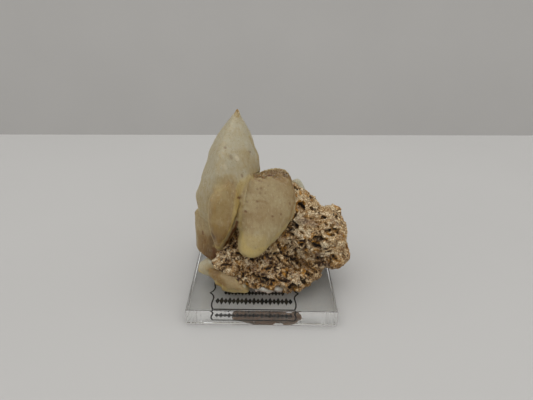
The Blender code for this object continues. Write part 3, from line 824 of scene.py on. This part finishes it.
def blended(bm, numbers, times):
    """A list of numbers, one for each vertex, evened out between neighbours."""
    around = [[edge.other_vert(vert).index for edge in vert.link_edges] for vert in bm.verts]
    for _ in range(times):
        numbers = [0.5 * own + 0.5 * sum(numbers[k] for k in near) / len(near)
                   for own, near in zip(numbers, around)]
    return numbers


def edge_by_sector(polar, belongs):
    """How far the edge of a crystal lies from its middle, in pixels, in each sector of the view."""
    edge = {}
    for (radius, angle), own in zip(polar, belongs):
        if own > OWN_SKIN:
            sector = round(angle / math.radians(OUTLINE_SECTOR))
            edge[sector] = max(edge.get(sector, 1.0), radius)
    return edge


def growth_by_sector(edge, middle, outline):
    """How much a crystal's edge has to grow in each sector to reach its outline."""
    step = math.radians(OUTLINE_SECTOR)
    least, most = OUTLINE_LIMITS
    wanted = []
    for point in outline:
        away = Vector(point) - middle
        angle = math.atan2(away.y, away.x)
        reach = edge.get(round(angle / step))
        if reach:
            wanted.append((angle, max(least, min(most, away.length / reach))))
    growth = {}
    for sector in edge:
        weights, total = OUTLINE_REST, OUTLINE_REST
        for angle, factor in wanted:
            apart = math.degrees(abs(math.remainder(angle - sector * step, 2 * math.pi)))
            weight = math.exp(-(apart / OUTLINE_REACH) ** 2)
            weights += weight
            total += weight * factor
        growth[sector] = total / weights
    return growth


def drawn_to_outline(bm, belongs, middle, outline):
    """Move vertices across the view, as far as they belong to a crystal, so that it fills its outline."""
    middle, _ = seen_pixel(middle)
    seen = [seen_pixel(vert.co) for vert in bm.verts]
    polar = [((pixel - middle).length, math.atan2(pixel.y - middle.y, pixel.x - middle.x))
             for pixel, _ in seen]
    edge = edge_by_sector(polar, belongs)
    growth = growth_by_sector(edge, middle, outline)
    turn = camera_turn().to_3x3()
    for vert, (pixel, depth), (radius, angle), own in zip(bm.verts, seen, polar, belongs):
        sector = round(angle / math.radians(OUTLINE_SECTOR))
        if own < OTHER_SKIN or sector not in growth:
            continue
        grown = (growth[sector] - 1) * share(radius / edge[sector], OUTLINE_INNER, 1.0) * own
        move = (pixel - middle) * grown * depth / CAMERA_FOCAL_PIXELS
        vert.co += turn @ Vector((move.x, -move.y, 0))
    bm.normal_update()


def from_tip(vert):
    """How far a vertex lies from the tall crystal's tip."""
    return (vert.co - SHARP_TIP).length


def round_crystals(bm, owner):
    """Smooth each crystal and swell it back to its size."""
    for crystal in sorted(set(owner)):
        form = CRYSTALS[crystal]
        own = [v for v, name in zip(bm.verts, owner) if name == crystal and from_tip(v) > SHARP_REACH]
        blunt = [v for v in own if from_tip(v) > BLUNT_REACH]
        first_passes = min(TIP_PASSES, form.passes // 4)
        smoothed(bm, own, first_passes)
        smoothed(bm, blunt, form.passes - first_passes)
        for vert in own:
            full = TIP_SWELL + (1 - TIP_SWELL) * share(from_tip(vert), SHARP_REACH, SWELL_REACH)
            vert.co += vert.normal * form.swell * full


def draw_crystals(bm, owner):
    """Draw the larger crystals to their outlines, and even out their joints."""
    low, high = JOINT_SHARES
    for crystal, outline in OUTLINES.items():
        if crystal not in owner:
            continue
        belongs = blended(bm, [float(name == crystal) for name in owner], OWNER_BLENDS)
        drawn_to_outline(bm, belongs, Vector(CRYSTALS[crystal].middle), outline)
        if crystal in JOINT_PASSES:
            joint = [vert for vert, own in zip(bm.verts, belongs) if low < own < high]
            smoothed(bm, joint, JOINT_PASSES[crystal])


def soften_corners(bm):
    """Smooth the skin around each pixel in JOINT_CORNERS."""
    skin = BVHTree.FromBMesh(bm)
    for u, v in JOINT_CORNERS:
        point = seen_point(skin, u, v)
        if point is not None:
            near = [vert for vert in bm.verts if (vert.co - point).length < JOINT_REACH]
            smoothed(bm, near, CORNER_PASSES)


def roughen_and_paint_crystals(bm, owner):
    """Roughen the crystals' skin and give the values of its stains, specks and chips, its painted shade, and
    the painted glow of its edges.
    """
    surface = Surface(bm)
    # brown holds stains and painted shade, yellow the yellow joints and a painted glow, dark specks and
    # painted shade
    values = {
        "brown": surface.marked(CRYSTAL_BROWN_AND_SHADE),
        "yellow": surface.marked(CRYSTAL_YELLOW_AND_GLOW),
        "dark_and_shade": surface.marked(CRYSTAL_SPECKS_AND_SHADE),
        "cream": surface.marked(CRYSTAL_CREAM),
    }
    browns = [body_tone(name, vert.co.z) for name, vert in zip(owner, bm.verts)]
    body_brown = blended(bm, browns, BROWN_BLENDS)
    no_glow_side = Vector(NO_GLOW_SIDE).normalized()
    for k, vert in enumerate(bm.verts):
        place = vert.co.copy()
        rough = broken_share(place) if owner[k] == "broad" else 0.0
        # The brown value holds stains, the brown of the foot and painted shade
        values["brown"][k] = min(1.4, body_brown[k] + values["brown"][k] * 0.7 + rough * 0.15)
        # Painted glow: faces turned away from the view side turn yellow
        turned = share(vert.normal.dot(no_glow_side), *YELLOW_TURN) * share(place.z, *YELLOW_HEIGHTS)
        values["yellow"][k] = max(values["yellow"][k] * 0.8, turned * CRYSTALS[owner[k]].yellow * 0.8)
        flecks = rough * share(noise.noise(place / 0.6), 0.05, 0.35)
        values["cream"][k] = max(values["cream"][k], flecks * 0.2)
        swell = 0.14 * noise.noise(place / 3.2) + 0.05 * noise.noise(place / 0.9)
        chips = rough * (1.05 * noise.turbulence(place / 0.9, 3, True) - 0.05)
        vert.co += vert.normal * (swell - chips - 0.1 * values["dark_and_shade"][k])
    return values


def crystal_piece(name, node, finish):
    """A CAD crystal solid with rounded edges, a sugary surface, its stains and specks, and painted shade and
    glow.
    """
    solid = merged_copy(node)
    bmesh.ops.dissolve_limit(solid, angle_limit=ONE_FACE, verts=solid.verts, edges=solid.edges)
    names = faces_by_crystal(solid)
    faces = BVHTree.FromBMesh(solid)
    piece = skinned(name, solid, CRYSTAL_VOXEL, finish)
    bm = in_millimetres(piece)
    owner = [names[faces.find_nearest(vert.co)[2]] for vert in bm.verts]
    round_crystals(bm, owner)
    draw_crystals(bm, owner)
    smoothed(bm, [v for v in bm.verts if from_tip(v) > SHARP_REACH], LAST_PASSES)
    if "broad" in owner:
        soften_corners(bm)
    put_back(bm, piece, roughen_and_paint_crystals(bm, owner))
    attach(piece, "root")
    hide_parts(node)
    return piece


# Rock


def rock_relief(place):
    """How far the rock stands out at a place, in millimetres, and its crumb's tone there, from 0 to 1."""
    bent = place + noise.noise_vector(place / ROCK_BEND_SIZE) * ROCK_BEND
    bent.z *= 0.8
    distances, points = noise.voronoi(bent / ROCK_CRUMB)
    crumb = min(1.0, (distances[1] - distances[0]) * 2.6)
    tone = noise.cell_vector(points[0] * 7.3).x
    small, _ = noise.voronoi(bent / ROCK_GRIT + Vector((3, 1, 7)))
    grit = min(1.0, (small[1] - small[0]) * 2.4)
    ribs = 1 - min(1.0, abs(noise.noise(bent / ROCK_RIB)) * 4.0)
    broad = noise.noise(place / ROCK_BROAD)
    height = 0.5 * crumb * (0.5 + tone) + 0.2 * grit + 0.5 * ribs + 0.5 * broad
    return height, tone


def rock_marks(bm):
    """The values of the rock's marks at each vertex, and empty lists for what follows from its relief."""
    surface = Surface(bm)
    return {
        # Pits and clefts, with painted shade
        "dark_and_shade": surface.marked(ROCK_PITS_AND_SHADE),
        "ochre": surface.marked(ROCK_OCHRE),
        "cream": surface.marked(ROCK_CREAM),
        "plate": surface.marked(ROCK_PLATES),
        "grey": surface.marked(ROCK_GREY),
        "worn": surface.marked(ROCK_WORN),
        "full": surface.marked(ROCK_FULL),
        "height": [],
        "tone": [],
        "crumbly": [],
    }


def pit_depth(place, dark_and_shade, hidden):
    """How much a place lies in a pit, from 0 to 1, which sinks it and paints it near black as shade. The
    pits of the hidden side are made up.
    """
    pit, _ = noise.voronoi(place / ROCK_BACK_PIT + Vector((5, 2, 8)))
    pitted = hidden * share(pit[0], 0.3, 0.12)
    broken = 0.4 + 0.6 * share(noise.noise(place / ROCK_PIT_GAP), -0.35, 0.12)
    return min(1.0, 1.3 * max(dark_and_shade, pitted) * broken)


def roughen_rock(bm, values):
    """Give the rock's skin its relief, and fill in the values that follow from it."""
    noise.seed_set(ROCK_SEED)
    for k, vert in enumerate(bm.verts):
        place = vert.co.copy()
        relief, tone = rock_relief(place)
        plate, cream = values["plate"][k], values["cream"][k]
        fine_end = share(place.x, *FINE_END_ACROSS) * share(place.z, *FINE_END_DOWN)
        relief *= (1 - 0.45 * fine_end) * (1 - 0.8 * plate)
        hidden = share(vert.normal.y, *HIDDEN_SIDE)
        dark_and_shade = pit_depth(place, values["dark_and_shade"][k], hidden)
        lift = relief * 0.8 - 0.55 + 0.35 * cream + 0.3 * plate - 1.1 * dark_and_shade
        lift += 1.5 * values["full"][k] - 1.2 * values["worn"][k]
        vert.co += vert.normal * lift
        lower = share(place.z, *ROCK_FOOT)
        upper = share(place.z, *ROCK_UPPER)
        # This height also sets the painted shade in the rock's low places
        height = relief * 0.75 + 0.1 + 0.35 * plate + 0.3 * cream + 0.2 * fine_end + 0.12 * upper
        values["dark_and_shade"][k] = dark_and_shade
        values["height"].append(max(0.0, min(1.0, height)))
        values["crumbly"].append(1 - 0.65 * fine_end)
        values["tone"].append(max(0.0, min(1.0, tone * 0.95 + 0.05 - 0.35 * lower + 0.14 * upper)))
        if hidden:
            stain = share(noise.noise(place / ROCK_BACK_STAIN + Vector((2, 7, 4))), 0.2, 0.5)
            values["ochre"][k] = max(values["ochre"][k], hidden * stain * 0.6)


def rock_piece(finish):
    piece = skinned("rock_matrix", merged_copy("rock"), ROCK_VOXEL, finish)
    bm = in_millimetres(piece)
    smoothed(bm, bm.verts, ROCK_PASSES)
    values = rock_marks(bm)
    roughen_rock(bm, values)
    put_back(bm, piece, values)
    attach(piece, "root")
    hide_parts("rock")


def putty_piece(finish):
    """The putty, pressed flat on the base in most places, where its stained contact shows."""
    piece = skinned("putty_pad", merged_copy("putty"), PUTTY_VOXEL, finish)
    bm = in_millimetres(piece)
    smoothed(bm, bm.verts, PUTTY_PASSES)
    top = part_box("display_base")[1].z / MM
    for vert in bm.verts:
        vert.co += vert.normal * (0.1 + PUTTY_LUMP * noise.noise(vert.co / PUTTY_LUMP_SIZE))
        if vert.co.z < top + PUTTY_NEAR:
            patch = noise.noise(vert.co / PUTTY_PATCH_SIZE + Vector((4, 9, 2)))
            pressed = patch > PUTTY_PATCH_NOISE
            vert.co.z = top - PUTTY_SUNK if pressed else top + PUTTY_AIR
    fading, whole = PUTTY_STAIN
    stained = [share(vert.co.z, top + fading, top + whole) for vert in bm.verts]
    put_back(bm, piece, {"stained": stained})
    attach(piece, "root")
    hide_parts("putty")


# Base and label


def base_piece(finish):
    low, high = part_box("display_base")
    bm = bmesh.new()
    bmesh.ops.create_cube(bm, size=1.0)
    size = (high - low) / MM
    bmesh.ops.scale(bm, vec=size, verts=bm.verts)
    bmesh.ops.translate(bm, vec=(low + high) / 2 / MM, verts=bm.verts)
    bmesh.ops.bevel(bm, geom=bm.edges[:], offset=BASE_BEVEL, offset_type="OFFSET", segments=3,
                    profile=0.5, affect="EDGES", material=-1)
    piece = mesh_object("clear_base", bm, finish, smooth=False)
    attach(piece, "root")
    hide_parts("display_base")


# The printed frame's right side, from its middle to its upper corner: it swings out to a point at the middle
LABEL_SIDE = (
    (15.8, 0.0), (15.0, 0.8), (14.5, 1.7), (14.3, 2.6), (14.5, 3.9), (14.7, 5.4), (14.6, 6.9), (14.1, 8.4),
)
LABEL_SHIFT = 0.4
# Rows of lozenges: height on the label, size across and along, and how many. They overlap by a little, and
# every other one is shorter
LABEL_ROWS = ((-3.8, 1.42, 4.0, 19), (0.5, 1.2, 2.7, 18), (4.2, 1.2, 1.8, 9))
LOZENGE_OVERLAP = 1.18
LOZENGE_SHORT = 0.76
INK_BOTTOM = 0.05
INK_THICKNESS = 0.04
LINE_WIDTH = 0.52


def stroke(bm, start, end, width):
    """One straight ink line between two points of the label, as a thin box."""
    start, end = Vector((*start, 0)), Vector((*end, 0))
    run = end - start
    turn = Matrix.Rotation(math.atan2(run.y, run.x), 4, "Z")
    place = Matrix.Translation((start + end) / 2 + Vector((0, 0, INK_BOTTOM + INK_THICKNESS / 2)))
    shape = Matrix.Diagonal((run.length + width * 0.8, width, INK_THICKNESS, 1))
    bmesh.ops.create_cube(bm, size=1.0, matrix=place @ turn @ shape)


def lozenge(bm, x, y, across, along):
    """One ink lozenge."""
    spin = Matrix.Rotation(math.radians(45), 4, "Z")
    place = Matrix.Translation((x, y, INK_BOTTOM + INK_THICKNESS / 2))
    shape = Matrix.Diagonal((across, along, 1, 1))
    block = Matrix.Diagonal((math.sqrt(0.5), math.sqrt(0.5), INK_THICKNESS, 1))
    bmesh.ops.create_cube(bm, size=1.0, matrix=place @ shape @ spin @ block)


def label_piece(finish):
    """Ink on the label's film: a frame with pointed sides, and rows of plain lozenges."""
    low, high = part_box("label")
    middle = (low + high) / 2 / MM
    bm = bmesh.new()
    right = [(x, -y) for x, y in reversed(LABEL_SIDE)] + list(LABEL_SIDE[1:])
    outline = right + [(-x, y) for x, y in reversed(right)]
    outline = [(middle.x + x, middle.y + LABEL_SHIFT + y) for x, y in outline]
    for k, point in enumerate(outline):
        stroke(bm, point, outline[(k + 1) % len(outline)], LINE_WIDTH)
    for y, across, along, count in LABEL_ROWS:
        for k in range(count):
            x = middle.x + (k - (count - 1) / 2) * across
            length = along if k % 2 else along * LOZENGE_SHORT
            lozenge(bm, x, middle.y + y, across * LOZENGE_OVERLAP, length)
    piece = mesh_object("label_ink", bm, finish, smooth=False)
    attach(piece, "root")
    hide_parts("label")


# Stage, lights and camera


def flat_stage(name, corners, finish):
    bm = bmesh.new()
    bm.faces.new([bm.verts.new(corner) for corner in corners])
    made = mesh_object(name, bm, finish, smooth=False)


def make_stage():
    table = stage_material("pale_table", linear((194, 193, 191)), 0.6)
    wall = stage_material("grey_wall", linear((170, 168, 165)), 0.9)
    side = TABLE_HALF_WIDTH
    slope = math.tan(math.radians(TABLE_EDGE_TURN)) * side
    flat_stage("table_top", ((-side, -side, -TABLE_DROP), (side, -side, -TABLE_DROP),
                             (side, TABLE_BACK_EDGE + slope, -TABLE_DROP),
                             (-side, TABLE_BACK_EDGE - slope, -TABLE_DROP)), table)
    flat_stage("wall", ((-3 * side, WALL_Y, -side), (3 * side, WALL_Y, -side),
                        (3 * side, WALL_Y, side), (-3 * side, WALL_Y, side)), wall)


def soft_light(name, place, aim, size, power, colour):
    data = bpy.data.lights.new(name, "AREA")
    data.shape = "DISK"
    data.size = size
    data.energy = power
    data.color = colour
    lamp = bpy.data.objects.new(name, data)
    bpy.context.scene.collection.objects.link(lamp)
    lamp.location = place
    lamp.rotation_euler = (Vector(aim) - Vector(place)).to_track_quat("-Z", "Y").to_euler()


def make_lights():
    world = bpy.data.worlds.new("soft_room")
    bpy.context.scene.world = world
    world.use_nodes = True
    sky = world.node_tree.nodes["Background"]
    sky.inputs["Color"].default_value = (1.0, 0.995, 0.985, 1.0)
    sky.inputs["Strength"].default_value = 0.77
    soft_light("ceiling_light", place=(0.02, -0.15, 0.9), aim=(0, 0, 0.03), size=1.4, power=3.55,
               colour=(1.0, 0.99, 0.975))


def make_camera():
    data = bpy.data.cameras.new("photo_view")
    data.sensor_fit = "HORIZONTAL"
    data.sensor_width = 36.0
    data.lens = CAMERA_FOCAL_PIXELS / IMAGE_SIZE[0] * data.sensor_width
    data.clip_start = 0.005
    data.clip_end = 20.0
    camera = bpy.data.objects.new("photo_view", data)
    bpy.context.scene.collection.objects.link(camera)
    camera.matrix_world = Matrix.Translation(Vector(CAMERA_PLACE) * MM) @ camera_turn()
    bpy.context.scene.camera = camera


def main():
    bpy.context.scene.view_settings.view_transform = "Standard"
    bpy.context.scene.cycles.glossy_bounces = REFLECTIONS
    bpy.context.scene.cycles.max_bounces = REFLECTIONS
    make_camera()
    make_stage()
    make_lights()
    calcite = calcite_material()
    crystal_piece("dogtooth_crystals", "crystal_cluster", calcite)
    crystal_piece("foot_blades", "foot_crystals", calcite)
    crystal_piece("pale_back_crystals", "back_crystals", calcite)
    rock_piece(rock_material())
    putty_piece(putty_material())
    base_piece(acrylic_material())
    label_piece(ink_material())


main()
